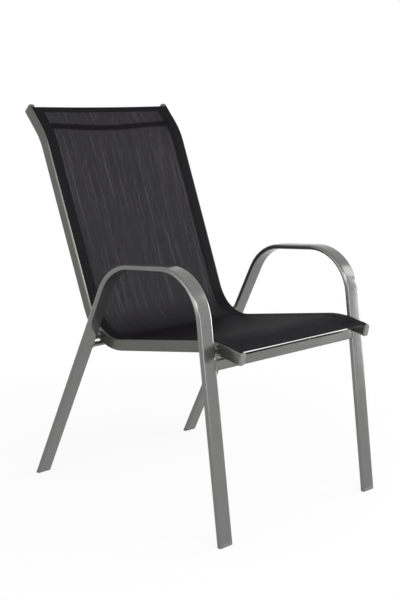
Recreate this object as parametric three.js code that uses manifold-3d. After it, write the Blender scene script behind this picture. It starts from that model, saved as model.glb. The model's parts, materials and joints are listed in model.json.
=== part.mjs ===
// Sling patio chair: two bent hoops that are legs and arms in one, two sling rails bolted between
// them, and one length of woven mesh held in the rails.
// Millimetres, +Z up. The chair faces -Y, so the sitter's left is +X. Each piece of a pair is built
// on the left and mirrored to the right.
import * as THREE from 'three';
import { mergeVertices } from 'three/addons/utils/BufferGeometryUtils.js';
import Module from 'manifold-3d';

const wasm = await Module();
wasm.setup();

// Fits between pieces
const clearance = 0.3;
const overrun = 3;

// Hoops: flat-oval tube, standing on the floor at both ends
const hoopWide = 41.5;
const hoopThick = 12;
const hoopWall = 1.5;
const halfTrack = 246.6;
const armHeight = 595;
const armLength = 283;
const frontBendRadius = 113;
const rearBendRadius = 116;
const hoopToe = 0.93;
const frontLegPitch = 82.33;
const armPitch = -4.67;
const rearLegPitch = -62.44;

// Foot caps
const footCapHeight = 9;
const footRound = 2.5;
const footPlugDepth = 16;

// Crossbars, each with a clear gap along the leg between itself and the spacers above it
const frontBarDeep = 23.5;
const frontBarThick = 12;
const frontBarWall = 1.5;
const frontBarRound = 3;
const frontBarGap = 11.7;
const rearBarDiameter = 12.7;
const rearBarWall = 1.5;
const rearBarGap = 11.9;

// Sling rails: hollow tube with a keyhole slot along the top face, near its outer edge
const railWide = 15;
const railDeep = 28;
const railWall = 1.4;
const railRound = 2.8;
const railHalfSpread = 209.4;
const railToe = 0.6;
const railLean = 0.25;
const railFrontReach = 8.5;
const railFrontHeight = 411.2;
const frontDropLength = 78.9;
const seatLength = 407;
const backLength = 533.5;
const headLength = 88.7;
const waterfallRadius = 214;
const seatBackRadius = 113.5;
const headRadius = 155;
const frontDropPitch = 11;
const seatPitch = -9;
const backPitch = 68.2;
const headPitch = 47.7;

// Keyhole slot and the plastic spline inside it
const slotNeck = 2.4;
const slotBoreRadius = 3.2;

// Rail caps
const railCapThick = 5;
const railCapRound = 2.2;
const railPlugDepth = 14;

// Sling
const slingThick = 1;
const slingFrontInset = 2.6;
const slingTopInset = 7;
const slingSag = 6;
const hemReach = 16;

// Spreaders: bowed tubes with a spigot at each end. The head's lies past the upper bend's corner, and
// the seat's two lie a clear gap behind the front bolts and in front of the rear bolts.
const spreaderDiameter = 15;
const spreaderWall = 1.5;
const spreaderBow = 12;
const spigotDiameter = 8;
const spigotBore = 4;
const spigotReach = 6;
const spigotShoulder = 4;
const headSpreaderPlace = 33;
const seatSpreaderGap = 28;
const lumbarSpreaderGap = 56;

// Bolts, spacers and threaded inserts
const boltDiameter = 6;
const boltDrop = 1;
const boltFlangeDiameter = 14;
const boltFlangeThick = 1.5;
const boltHeadAcross = 10;
const boltHeadHigh = 4;
const spacerDiameter = 18;
const spacerHug = 3;
const insertDiameter = 8;
const insertLength = 13;
const insertFlangeDiameter = 11;
const insertFlangeThick = 1;

// How finely curves are cut into facets
const bendStepsPerTurn = 42;
const cornerSteps = 2;
const ovalEndSteps = 6;
const roundSides = 16;
const splineSides = 8;
const loopSteps = 10;
const bowSteps = 12;

// Sag of the sling: shares of its length, and shares of the sag there
const sagPlaceShares = [0, 0.22, 0.44, 0.66, 0.88, 1];
const sagDepthShares = [0.1, 1, 0.1, 1, 0.75, 0.45];
const panelShares = [0.12, 0.35, 0.68, 1];

// Materials
function metal(color, roughness) {
  return new THREE.MeshStandardMaterial({ color, roughness, metalness: 0.6 });
}

function plain(color, roughness) {
  return new THREE.MeshStandardMaterial({ color, roughness, metalness: 0 });
}

const frameFinish = metal(0x8a8883, 0.42);
const railFinish = metal(0x86857f, 0.4);
const steelFinish = metal(0xa9a9a6, 0.35);
const insertFinish = metal(0xb4ad8e, 0.4);
const capFinish = plain(0x9a9a97, 0.5);
const footFinish = plain(0x84827f, 0.55);
const meshFinish = plain(0x36343a, 0.85);
const splineFinish = plain(0x222226, 0.6);

// The pitches in radians, measured from straight back, positive upwards
const frontLegAngle = THREE.MathUtils.degToRad(frontLegPitch);
const armAngle = THREE.MathUtils.degToRad(armPitch);
const rearLegAngle = THREE.MathUtils.degToRad(rearLegPitch);
const frontDropAngle = THREE.MathUtils.degToRad(frontDropPitch);
const seatAngle = THREE.MathUtils.degToRad(seatPitch);
const backAngle = THREE.MathUtils.degToRad(backPitch);
const headAngle = THREE.MathUtils.degToRad(headPitch);

function along(angle) {
  return { y: Math.cos(angle), z: Math.sin(angle) };
}

function across(angle) {
  return { y: -Math.sin(angle), z: Math.cos(angle) };
}

function shifted(point, direction, distance) {
  return { y: point.y + direction.y * distance, z: point.z + direction.z * distance };
}

// A bent tube's centre line in side view: straight legs that meet at corners, each corner rounded.
// Every station holds its place and its angle.
function bentPath(start, angles, lengths, radii) {
  const stations = [{ ...start, angle: angles[0] }];
  let corner = start;
  radii.forEach((radius, index) => {
    const before = angles[index];
    const turn = angles[index + 1] - before;
    const side = Math.sign(turn);
    const tangent = radius * Math.tan(Math.abs(turn) / 2);
    corner = shifted(corner, along(before), lengths[index]);
    const arcStart = shifted(corner, along(before), -tangent);
    const centre = shifted(arcStart, across(before), radius * side);
    const steps = Math.ceil(Math.abs(turn) * bendStepsPerTurn / (2 * Math.PI));
    for (let step = 0; step <= steps; step += 1) {
      const angle = before + turn * step / steps;
      stations.push({ ...shifted(centre, across(angle), -radius * side), angle });
    }
  });
  const last = radii.length;
  const end = shifted(corner, along(angles[last]), lengths[last]);
  stations.push({ ...end, angle: angles[last] });
  return stations;
}

// A curve that steps from station to station, so a sweep has rings only where the tube needs them
class StationCurve extends THREE.Curve {
  constructor(stations) {
    super();
    this.stations = stations;
  }

  stationAt(share) {
    return this.stations[Math.round(share * (this.stations.length - 1))];
  }

  getPointAt(share, target = new THREE.Vector3()) {
    const station = this.stationAt(share);
    return target.set(station.x ?? 0, station.y, station.z);
  }

  getTangentAt(share, target = new THREE.Vector3()) {
    const station = this.stationAt(share);
    if (station.tangent) return target.copy(station.tangent);
    const direction = along(station.angle);
    return target.set(0, direction.y, direction.z);
  }
}

// Outlines, as lists of points. In a sweep along a side-view path the outline's x runs towards
// the chair's middle on the left-hand side, and its y runs to the outside of the upper bends.
function arcPoints(x, y, radius, from, to, steps) {
  const points = [];
  for (let step = 0; step <= steps; step += 1) {
    const angle = THREE.MathUtils.degToRad(from + (to - from) * step / steps);
    points.push(new THREE.Vector2(x + radius * Math.cos(angle), y + radius * Math.sin(angle)));
  }
  return points;
}

function ovalOutline(wide, thick) {
  const radius = thick / 2;
  const reach = wide / 2 - radius;
  return [
    ...arcPoints(reach, 0, radius, -90, 90, ovalEndSteps),
    ...arcPoints(-reach, 0, radius, 90, 270, ovalEndSteps),
  ];
}

function roundedOutline(wide, deep, radius) {
  const x = wide / 2 - radius;
  const y = deep / 2 - radius;
  return [
    ...arcPoints(x, -y, radius, -90, 0, cornerSteps),
    ...arcPoints(x, y, radius, 0, 90, cornerSteps),
    ...arcPoints(-x, y, radius, 90, 180, cornerSteps),
    ...arcPoints(-x, -y, radius, 180, 270, cornerSteps),
  ];
}

function circleOutline(x, y, radius, sides) {
  return arcPoints(x, y, radius, 0, 360 - 360 / sides, sides - 1);
}

// Solids
function toSolid(geometry) {
  geometry.deleteAttribute('normal');
  geometry.deleteAttribute('uv');
  const merged = mergeVertices(geometry);
  return new wasm.Manifold(new wasm.Mesh({
    numProp: 3,
    vertProperties: new Float32Array(merged.attributes.position.array),
    triVerts: new Uint32Array(merged.index.array),
  }));
}

function sweep(outline, stations, holes = []) {
  const shape = new THREE.Shape(outline);
  holes.forEach((hole) => shape.holes.push(new THREE.Path(hole)));
  return new THREE.ExtrudeGeometry(shape, {
    steps: stations.length - 1,
    extrudePath: new StationCurve(stations),
    bevelEnabled: false,
  });
}

// A closed skin over rings of equally many points, with flat ends cut up as their outlines are
function skin(rings, startOutline, endOutline = startOutline) {
  const count = startOutline.length;
  const positions = rings.flatMap((ring) => ring.flatMap((point) => [point.x, point.y, point.z]));
  const index = [];
  for (let ring = 0; ring < rings.length - 1; ring += 1) {
    for (let side = 0; side < count; side += 1) {
      const next = (side + 1) % count;
      const a = ring * count + side;
      const b = ring * count + next;
      index.push(a, b, b + count, a, b + count, a + count);
    }
  }
  const lastRing = (rings.length - 1) * count;
  THREE.ShapeUtils.triangulateShape(startOutline, []).forEach(([a, b, c]) => {
    index.push(a, c, b);
  });
  THREE.ShapeUtils.triangulateShape(endOutline, []).forEach(([a, b, c]) => {
    index.push(lastRing + a, lastRing + b, lastRing + c);
  });
  const geometry = new THREE.BufferGeometry();
  geometry.setAttribute('position', new THREE.Float32BufferAttribute(positions, 3));
  geometry.setIndex(index);
  return geometry;
}

// A round bar or hole that runs across the chair, from one x to another
function crossCylinder(diameter, fromX, toX, place, sides = roundSides) {
  const length = toX - fromX;
  const geometry = new THREE.CylinderGeometry(diameter / 2, diameter / 2, length, sides);
  geometry.rotateZ(Math.PI / 2);
  geometry.translate(fromX + length / 2, place.y, place.z);
  return toSolid(geometry);
}

const chair = new THREE.Group();

function addPiece(name, solid, material) {
  const mesh = solid.getMesh();
  const geometry = new THREE.BufferGeometry();
  geometry.setAttribute('position', new THREE.BufferAttribute(mesh.vertProperties, 3));
  geometry.setIndex(new THREE.BufferAttribute(mesh.triVerts, 1));
  geometry.computeVertexNormals();
  const piece = new THREE.Mesh(geometry, material);
  piece.name = name;
  chair.add(piece);
}

function addPair(name, solid, material) {
  addPiece(`${name}_left`, solid, material);
  addPiece(`${name}_right`, solid.mirror([1, 0, 0]), material);
}

// Hoop centre line, from the front foot on the floor, over the arm, to the rear foot on the floor
const floorPoint = { y: 0, z: 0 };
const frontLegLength = armHeight / along(frontLegAngle).z;
const armRearHeight = armHeight + along(armAngle).z * armLength;
const rearLegLength = armRearHeight / -along(rearLegAngle).z;
const hoopTubeStart = footCapHeight + clearance;
const hoopAngles = [frontLegAngle, armAngle, rearLegAngle];
const hoopRadii = [frontBendRadius, rearBendRadius];

function hoopPath(startGap) {
  const start = shifted(floorPoint, along(frontLegAngle), startGap);
  const lengths = [frontLegLength - startGap, armLength, rearLegLength - startGap];
  return bentPath(start, hoopAngles, lengths, hoopRadii);
}

function toHoopPlace(geometry) {
  geometry.rotateZ(-THREE.MathUtils.degToRad(hoopToe));
  geometry.translate(halfTrack, 0, 0);
  return geometry;
}

function hoopX(y) {
  return halfTrack + Math.tan(THREE.MathUtils.degToRad(hoopToe)) * y;
}

const hoopStations = hoopPath(hoopTubeStart);
const hoopOutline = ovalOutline(hoopWide, hoopThick);
const hoopBore = ovalOutline(hoopWide - 2 * hoopWall, hoopThick - 2 * hoopWall);
const hoopRoom = ovalOutline(hoopWide + 2 * clearance, hoopThick + 2 * clearance);
const hoopEnvelope = toSolid(toHoopPlace(sweep(hoopRoom, hoopStations)));
const bothHoopEnvelopes = hoopEnvelope.add(hoopEnvelope.mirror([1, 0, 0]));

// Rail centre line, from the tube's front end, over the seat, up the back, to the tube's head end
const railAngles = [frontDropAngle, seatAngle, backAngle, headAngle];
const railRadii = [waterfallRadius, seatBackRadius, headRadius];
const railStart = { y: -railFrontReach, z: railFrontHeight };

function railPath(frontInset, topInset) {
  const start = shifted(railStart, along(frontDropAngle), frontInset);
  const lengths = [frontDropLength - frontInset, seatLength, backLength, headLength - topInset];
  return bentPath(start, railAngles, lengths, railRadii);
}

// A rail toes out towards the back, and leans out above its front end's height
function toRailPlace(geometry) {
  geometry.translate(0, 0, -railFrontHeight);
  geometry.rotateY(THREE.MathUtils.degToRad(railLean));
  geometry.rotateZ(-THREE.MathUtils.degToRad(railToe));
  geometry.translate(railHalfSpread, 0, railFrontHeight);
  return geometry;
}

const toeSlope = Math.tan(THREE.MathUtils.degToRad(railToe));
const leanSlope = Math.tan(THREE.MathUtils.degToRad(railLean));

function railX(place) {
  return railHalfSpread + toeSlope * place.y + leanSlope * (place.z - railFrontHeight);
}

const railStations = railPath(0, 0);
const railOutline = roundedOutline(railWide, railDeep, railRound);

// Keyhole: a round bore under the top face, open to it through a narrow neck
const boreX = -railWide / 2 + railWall + slotBoreRadius;
const boreY = railDeep / 2 - railWall - slotBoreRadius;
const neckAngle = THREE.MathUtils.radToDeg(Math.asin(slotNeck / 2 / slotBoreRadius));
const boreFlat = Math.cos((Math.PI - THREE.MathUtils.degToRad(neckAngle)) / loopSteps);

function railSection() {
  const halfWide = railWide / 2;
  const halfDeep = railDeep / 2;
  const x = halfWide - railRound;
  const y = halfDeep - railRound;
  return [
    ...arcPoints(x, -y, railRound, -90, 0, cornerSteps),
    ...arcPoints(x, y, railRound, 0, 90, cornerSteps),
    new THREE.Vector2(boreX + slotNeck / 2, halfDeep),
    ...arcPoints(boreX, boreY, slotBoreRadius / boreFlat, 90 - neckAngle, neckAngle - 270, loopSteps),
    new THREE.Vector2(boreX - slotNeck / 2, halfDeep),
    ...arcPoints(-x, y, railRound, 90, 180, cornerSteps),
    ...arcPoints(-x, -y, railRound, 180, 270, cornerSteps),
  ];
}

// The hollow is L-shaped, because it passes beside and under the bore
const hollowX = railWide / 2 - railWall;
const hollowY = railDeep / 2 - railWall;
const hollowStepX = boreX + slotBoreRadius + railWall;
const hollowStepY = boreY - slotBoreRadius - railWall;
const railHollow = [
  new THREE.Vector2(-hollowX, -hollowY),
  new THREE.Vector2(hollowX, -hollowY),
  new THREE.Vector2(hollowX, hollowY),
  new THREE.Vector2(hollowStepX, hollowY),
  new THREE.Vector2(hollowStepX, hollowStepY),
  new THREE.Vector2(-hollowX, hollowStepY),
];

// Where two centre lines cross in side view
function crossings(first, second) {
  const found = [];
  for (let i = 1; i < first.length; i += 1) {
    for (let j = 1; j < second.length; j += 1) {
      const [a, b, c, d] = [first[i - 1], first[i], second[j - 1], second[j]];
      const denominator = (b.y - a.y) * (d.z - c.z) - (b.z - a.z) * (d.y - c.y);
      const s = ((c.y - a.y) * (d.z - c.z) - (c.z - a.z) * (d.y - c.y)) / denominator;
      const t = ((c.y - a.y) * (b.z - a.z) - (c.z - a.z) * (b.y - a.y)) / denominator;
      if (s >= 0 && s < 1 && t >= 0 && t < 1) {
        found.push({ y: a.y + (b.y - a.y) * s, z: a.z + (b.z - a.z) * s });
      }
    }
  }
  return found;
}

const railCrossings = crossings(railStations, hoopStations);
const boltPlaces = {
  front: shifted(railCrossings[0], along(frontLegAngle), -boltDrop),
  rear: shifted(railCrossings[railCrossings.length - 1], along(rearLegAngle), boltDrop),
};

// Threaded insert: a sleeve in the hoop's inner edge, with a flange on the outside of it
function insertSolid(place) {
  const edge = hoopX(place.y) - hoopWide / 2;
  const flangeOuter = edge - clearance - insertFlangeThick;
  const sleeve = crossCylinder(insertDiameter, edge - clearance, edge + insertLength, place);
  const flange = crossCylinder(insertFlangeDiameter, flangeOuter, edge - clearance, place);
  const thread = boltDiameter + 2 * clearance;
  const bore = crossCylinder(thread, flangeOuter - overrun, edge + insertLength + overrun, place);
  return sleeve.add(flange).subtract(bore);
}

// Spacer: a ring between rail and hoop, whose far end is cut to the hoop's rounded edge
function spacerSolid(place) {
  const edge = hoopX(place.y) - hoopWide / 2;
  const start = railX(place);
  const ring = crossCylinder(spacerDiameter, start, edge + spacerHug, place);
  const bore = crossCylinder(boltDiameter + 2 * clearance, start - overrun, edge + overrun, place);
  const recess = crossCylinder(
    insertFlangeDiameter + 2 * clearance,
    edge - insertFlangeThick - 2 * clearance,
    edge + spacerHug + overrun,
    place,
  );
  return ring.subtract(bore).subtract(recess).subtract(hoopEnvelope).subtract(railEnvelope);
}

// Bolt: hexagon head with a flange against the rail's inner face, shank through to the insert
function boltSolid(place) {
  const face = railX(place) - railWide / 2 - clearance;
  const seat = face - (toeSlope + leanSlope) * boltFlangeDiameter / 2;
  const headDiameter = boltHeadAcross / Math.cos(Math.PI / 6);
  const headEnd = seat - boltFlangeThick - boltHeadHigh;
  const tip = hoopX(place.y) - hoopWide / 2 + insertLength + boltFlangeThick;
  const shank = crossCylinder(boltDiameter, seat - boltFlangeThick, tip, place);
  const flange = crossCylinder(boltFlangeDiameter, seat - boltFlangeThick, seat, place);
  const head = crossCylinder(headDiameter, headEnd, seat - boltFlangeThick / 2, place, 6);
  return shank.add(flange).add(head);
}

const railRoom = roundedOutline(railWide + 2 * clearance, railDeep + 2 * clearance, railRound);
const railEnvelope = toSolid(toRailPlace(sweep(railRoom, railStations)));

// Spreader: bowed away from the sling between spigots that enter the rails' inner faces
function stationAlong(legStart, angle, distance) {
  return { ...shifted(legStart, along(angle), distance), angle };
}

function bowedStations(place, halfSpan) {
  const down = across(place.angle);
  const stations = [];
  for (let step = 0; step <= bowSteps; step += 1) {
    const share = step / bowSteps;
    const bow = spreaderBow * (1 - Math.cos(2 * Math.PI * share)) / 2;
    const slope = spreaderBow * Math.PI * Math.sin(2 * Math.PI * share) / (2 * halfSpan);
    const tangent = new THREE.Vector3(1, -down.y * slope, -down.z * slope).normalize();
    const x = halfSpan * (2 * share - 1);
    stations.push({ x, y: place.y - down.y * bow, z: place.z - down.z * bow, tangent });
  }
  return stations;
}

function spreaderSolid(place) {
  const inner = railX(place) - railWide / 2;
  const shoulder = inner - clearance - (toeSlope + leanSlope) * spreaderDiameter / 2;
  const tip = inner + spigotReach;
  const stations = bowedStations(place, shoulder - spigotShoulder);
  const boreDiameter = spreaderDiameter - 2 * spreaderWall;
  const tube = toSolid(sweep(circleOutline(0, 0, spreaderDiameter / 2, roundSides), stations));
  const hollow = toSolid(sweep(circleOutline(0, 0, boreDiameter / 2, roundSides), stations));
  const ends = [1, -1].map((side) => {
    const xs = (from, to) => [Math.min(side * from, side * to), Math.max(side * from, side * to)];
    const collarStart = shoulder - spigotShoulder;
    const collar = crossCylinder(spreaderDiameter, ...xs(collarStart, shoulder), place);
    const spigot = crossCylinder(spigotDiameter, ...xs(collarStart, tip), place);
    return collar.add(spigot);
  });
  const bore = crossCylinder(spigotBore, -tip - overrun, tip + overrun, place);
  const endBores = bore.subtract(toSolid(sweep(
    circleOutline(0, 0, spreaderDiameter / 2, roundSides),
    stations,
  )));
  return tube.add(ends[0]).add(ends[1]).subtract(hollow).subtract(endBores);
}

function cornerAt(count) {
  let corner = railStart;
  const lengths = [frontDropLength, seatLength, backLength];
  for (let index = 0; index < count; index += 1) {
    corner = shifted(corner, along(railAngles[index]), lengths[index]);
  }
  return corner;
}

// The station on the seat's straight that is level with a place, and then so far behind it
function seatStation(place, distance) {
  const start = cornerAt(1);
  const direction = along(seatAngle);
  const reach = (place.y - start.y) * direction.y + (place.z - start.z) * direction.z;
  return stationAlong(start, seatAngle, reach + distance);
}

const boltToSpreader = (boltFlangeDiameter + spreaderDiameter) / 2;
const spreaderPlaces = {
  head_spreader: stationAlong(cornerAt(3), headAngle, headSpreaderPlace),
  lumbar_spreader: seatStation(boltPlaces.rear, -boltToSpreader - lumbarSpreaderGap),
  seat_spreader: seatStation(boltPlaces.front, boltToSpreader + seatSpreaderGap),
};

// Crossbars, cut to the hoops' rounded inner edges and welded there
function frontCrossbar() {
  const drop = spacerDiameter / 2 + frontBarGap + frontBarDeep / 2;
  const place = shifted(boltPlaces.front, along(frontLegAngle), -drop);
  const length = 2 * hoopX(place.y);
  const shape = new THREE.Shape(roundedOutline(frontBarDeep, frontBarThick, frontBarRound));
  const boreDeep = frontBarDeep - 2 * frontBarWall;
  const boreThick = frontBarThick - 2 * frontBarWall;
  const boreRound = frontBarRound - frontBarWall;
  shape.holes.push(new THREE.Path(roundedOutline(boreDeep, boreThick, boreRound)));
  const geometry = new THREE.ExtrudeGeometry(shape, { depth: length, bevelEnabled: false });
  geometry.translate(0, 0, -length / 2);
  geometry.rotateY(Math.PI / 2);
  geometry.rotateX(frontLegAngle - Math.PI / 2);
  geometry.translate(0, place.y, place.z);
  return middleOf(toSolid(geometry).subtract(bothHoopEnvelopes));
}

function rearCrossbar() {
  const drop = spacerDiameter / 2 + rearBarGap + rearBarDiameter / 2;
  const place = shifted(boltPlaces.rear, along(rearLegAngle), drop);
  const reach = hoopX(place.y);
  const bore = rearBarDiameter - 2 * rearBarWall;
  const tube = crossCylinder(rearBarDiameter, -reach, reach, place);
  const hollow = crossCylinder(bore, -reach - overrun, reach + overrun, place);
  return middleOf(tube.subtract(hollow).subtract(bothHoopEnvelopes));
}

// A bar that was cut at both hoops leaves scraps inside them: only its middle piece is kept
function middleOf(solid) {
  const pieces = solid.decompose();
  return pieces.reduce((largest, piece) => (piece.volume() > largest.volume() ? piece : largest));
}

const rearFoot = {
  y: along(frontLegAngle).y * frontLegLength + along(armAngle).y * armLength
    + along(rearLegAngle).y * rearLegLength,
  z: 0,
};

// Foot cap: rounded where it meets the floor, flush with the tube, with a plug inside it
function footCap(foot, angle) {
  const direction = along(angle);
  const normal = across(angle);
  const flatRing = (inset, height) => (
    ovalOutline(hoopWide - 2 * inset, hoopThick - 2 * inset).map((point) => {
      const reach = (height - point.y * normal.z) / direction.z;
      return new THREE.Vector3(
        -point.x,
        foot.y + normal.y * point.y + direction.y * reach,
        foot.z + normal.z * point.y + direction.z * reach,
      );
    })
  );
  const squareRing = (inset, reach) => (
    ovalOutline(hoopWide - 2 * inset, hoopThick - 2 * inset).map((point) => new THREE.Vector3(
      -point.x,
      foot.y + normal.y * point.y + direction.y * reach,
      foot.z + normal.z * point.y + direction.z * reach,
    ))
  );
  const plugInset = hoopWall + clearance;
  const rings = [
    flatRing(footRound, 0),
    flatRing(footRound * (1 - Math.SQRT1_2), footRound * (1 - Math.SQRT1_2)),
    flatRing(0, footRound),
    squareRing(0, footCapHeight),
    squareRing(plugInset, footCapHeight),
    squareRing(plugInset, footCapHeight + footPlugDepth),
  ];
  return toSolid(toHoopPlace(skin(rings, ovalOutline(hoopWide, hoopThick))));
}

// Rail cap: a rounded flange over the tube's end, with a plug in the lower part of the hollow
function railCap(end, angle, side) {
  const outward = (distance) => ({ ...shifted(end, along(angle), side * distance), angle });
  const ordered = (from, to) => (side > 0 ? [outward(from), outward(to)] : [outward(to), outward(from)]);
  const top = clearance + railCapThick;
  const shoulderEnd = top - railCapRound;
  const flange = toSolid(sweep(railOutline, ordered(clearance, shoulderEnd)));
  const domeRing = (inset, distance) => {
    const station = outward(distance);
    const normal = across(angle);
    const wide = railWide - 2 * inset;
    const deep = railDeep - 2 * inset;
    return roundedOutline(wide, deep, railRound).map((point) => new THREE.Vector3(
      -point.x,
      station.y + normal.y * point.y,
      station.z + normal.z * point.y,
    ));
  };
  const domeRings = [
    domeRing(0, shoulderEnd - railCapRound / 2),
    domeRing(0, shoulderEnd),
    domeRing(railCapRound * (1 - Math.SQRT1_2), shoulderEnd + railCapRound * Math.SQRT1_2),
    domeRing(railCapRound, top),
  ];
  const rings = side > 0 ? domeRings : domeRings.reverse();
  const dome = toSolid(skin(rings, railOutline));
  const plugOutline = [
    new THREE.Vector2(-hollowX + clearance, -hollowY + clearance),
    new THREE.Vector2(hollowX - clearance, -hollowY + clearance),
    new THREE.Vector2(hollowX - clearance, hollowStepY - clearance),
    new THREE.Vector2(-hollowX + clearance, hollowStepY - clearance),
  ];
  const plug = toSolid(sweep(plugOutline, ordered(-railPlugDepth, clearance + railCapRound)));
  return flange.add(dome).add(plug)
    .translate([0, 0, -railFrontHeight])
    .rotate([0, railLean, -railToe])
    .translate([railHalfSpread, 0, railFrontHeight]);
}

// Sling section on one rail, as centre-line points in the rail's own x and y: round the spline,
// up through the neck, and inwards over the top face
const sheetY = railDeep / 2 + clearance + slingThick / 2;
const loopRadius = slotBoreRadius - clearance - slingThick / 2;
const loopFlat = Math.cos(Math.PI / loopSteps);

function edgeLine() {
  const open = 2 * THREE.MathUtils.radToDeg(Math.asin(slingThick / 2 / loopRadius));
  const loop = arcPoints(boreX, boreY, loopRadius, 90 + 2 * open, 450, loopSteps);
  const turn = slingThick;
  const bend = arcPoints(boreX + turn, sheetY - turn, turn, 180, 90, cornerSteps);
  const hemEdge = new THREE.Vector2(railWide / 2 + hemReach, sheetY);
  return [...loop, ...bend, new THREE.Vector2(railWide / 2, sheetY), hemEdge];
}

function sagAt(share) {
  let place = 1;
  while (place < sagPlaceShares.length - 1 && share > sagPlaceShares[place]) place += 1;
  const from = sagPlaceShares[place - 1];
  const to = sagPlaceShares[place];
  const blend = THREE.MathUtils.smoothstep(share, from, to);
  const depth = THREE.MathUtils.lerp(sagDepthShares[place - 1], sagDepthShares[place], blend);
  return slingSag * depth;
}

// The whole centre line across the chair at one station, from the left slot to the right slot
function slingLine(station, share) {
  const left = edgeLine().map((point) => {
    const place = shifted(station, across(station.angle), point.y);
    return new THREE.Vector2(railX(place) - point.x, point.y);
  });
  const edge = left[left.length - 1];
  const sag = sagAt(share);
  panelShares.forEach((panel) => {
    const x = edge.x * (1 - panel);
    left.push(new THREE.Vector2(x, edge.y - sag * (1 - (1 - panel) ** 2)));
  });
  const right = left.slice(0, -1).reverse().map((point) => new THREE.Vector2(-point.x, point.y));
  return [...left, ...right];
}

// The line thickened to both sides: out along one face and back along the other
function thickened(line) {
  const offset = (sign) => line.map((point, index) => {
    const before = line[Math.max(index - 1, 0)];
    const after = line[Math.min(index + 1, line.length - 1)];
    const incoming = point.clone().sub(before).normalize();
    const outgoing = after.clone().sub(point).normalize();
    const mean = incoming.clone().add(outgoing).normalize();
    const straight = index === 0 ? outgoing : incoming;
    const stretch = slingThick / 2 / mean.dot(straight);
    return new THREE.Vector2(point.x - mean.y * stretch * sign, point.y + mean.x * stretch * sign);
  });
  return [...offset(1), ...offset(-1).reverse()];
}

function slingSolid() {
  const stations = railPath(slingFrontInset, slingTopInset);
  const lengths = [0];
  stations.slice(1).forEach((station, index) => {
    const before = stations[index];
    lengths.push(lengths[index] + Math.hypot(station.y - before.y, station.z - before.z));
  });
  const total = lengths[lengths.length - 1];
  const sections = stations.map((station, index) => (
    thickened(slingLine(station, lengths[index] / total))
  ));
  const rings = sections.map((section, index) => section.map((point) => {
    const place = shifted(stations[index], across(stations[index].angle), point.y);
    return new THREE.Vector3(point.x, place.y, place.z);
  }));
  const outlines = sections.map((section) => (
    section.map((point) => new THREE.Vector2(-point.x, point.y))
  ));
  return toSolid(skin(rings, outlines[0], outlines[outlines.length - 1]));
}

// Assembly
const splineRadius = loopRadius * loopFlat - slingThick / 2 - clearance;
const splineOutline = circleOutline(boreX, boreY, splineRadius, splineSides);
const boltHole = boltDiameter + 2 * clearance;

let hoopTube = toSolid(toHoopPlace(sweep(hoopOutline, hoopStations, [hoopBore])));
let railTube = toSolid(toRailPlace(sweep(railSection(), railStations, [railHollow])));
Object.values(boltPlaces).forEach((place) => {
  const edge = hoopX(place.y) - hoopWide / 2;
  const insertHole = insertDiameter + 2 * clearance;
  const middle = hoopX(place.y);
  const inner = railX(place) - railWide / 2;
  hoopTube = hoopTube.subtract(crossCylinder(insertHole, edge - overrun, middle, place));
  railTube = railTube.subtract(
    crossCylinder(boltHole, inner - overrun, inner + railWide + overrun, place),
  );
});
Object.values(spreaderPlaces).forEach((place) => {
  const inner = railX(place) - railWide / 2;
  const spigotHole = spigotDiameter + 2 * clearance;
  railTube = railTube.subtract(
    crossCylinder(spigotHole, inner - overrun, inner + spigotReach + clearance, place),
  );
});

addPair('hoop', hoopTube, frameFinish);
addPiece('front_crossbar', frontCrossbar(), frameFinish);
addPiece('rear_crossbar', rearCrossbar(), frameFinish);
addPair('foot_cap_front', footCap(floorPoint, frontLegAngle), footFinish);
addPair('foot_cap_rear', footCap(rearFoot, rearLegAngle + Math.PI), footFinish);
addPair('rail', railTube, railFinish);
addPair('rail_front_cap', railCap(railStations[0], frontDropAngle, -1), capFinish);
addPair('rail_top_cap', railCap(railStations[railStations.length - 1], headAngle, 1), capFinish);
Object.entries(spreaderPlaces).forEach(([name, place]) => {
  addPiece(name, spreaderSolid(place), frameFinish);
});
addPiece('sling', slingSolid(), meshFinish);
addPair('spline', toSolid(toRailPlace(sweep(
  splineOutline,
  railPath(slingFrontInset, slingTopInset),
))), splineFinish);
Object.entries(boltPlaces).forEach(([end, place]) => {
  addPair(`bolt_${end}`, boltSolid(place), steelFinish);
  addPair(`spacer_${end}`, spacerSolid(place), railFinish);
  addPair(`insert_${end}`, insertSolid(place), insertFinish);
});

// The origin is on the floor, under the middle of the chair's box
const box = new THREE.Box3().setFromObject(chair);
chair.position.y = -(box.min.y + box.max.y) / 2;

export default chair;
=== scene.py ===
"""Looks of the sling patio chair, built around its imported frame. Metres, +Z up, the sitter faces -Y."""
import json
import math

import bmesh
import bpy
import numpy as np
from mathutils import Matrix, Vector


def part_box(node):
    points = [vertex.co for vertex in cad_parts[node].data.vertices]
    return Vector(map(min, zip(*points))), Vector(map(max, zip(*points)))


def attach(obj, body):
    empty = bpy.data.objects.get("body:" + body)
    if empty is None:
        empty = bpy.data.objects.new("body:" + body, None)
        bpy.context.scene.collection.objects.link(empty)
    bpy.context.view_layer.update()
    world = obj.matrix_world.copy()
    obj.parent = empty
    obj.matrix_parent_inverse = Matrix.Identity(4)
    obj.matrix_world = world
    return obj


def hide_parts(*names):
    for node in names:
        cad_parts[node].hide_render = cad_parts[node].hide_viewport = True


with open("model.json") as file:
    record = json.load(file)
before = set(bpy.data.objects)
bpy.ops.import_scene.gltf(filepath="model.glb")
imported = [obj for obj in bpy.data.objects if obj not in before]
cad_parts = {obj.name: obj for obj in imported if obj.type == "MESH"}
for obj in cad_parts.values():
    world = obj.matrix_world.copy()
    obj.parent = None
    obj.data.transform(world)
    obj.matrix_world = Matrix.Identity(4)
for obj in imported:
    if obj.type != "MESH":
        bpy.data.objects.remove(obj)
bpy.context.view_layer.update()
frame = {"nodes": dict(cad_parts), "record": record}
nodes = frame["nodes"]
MM = 0.001

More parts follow.
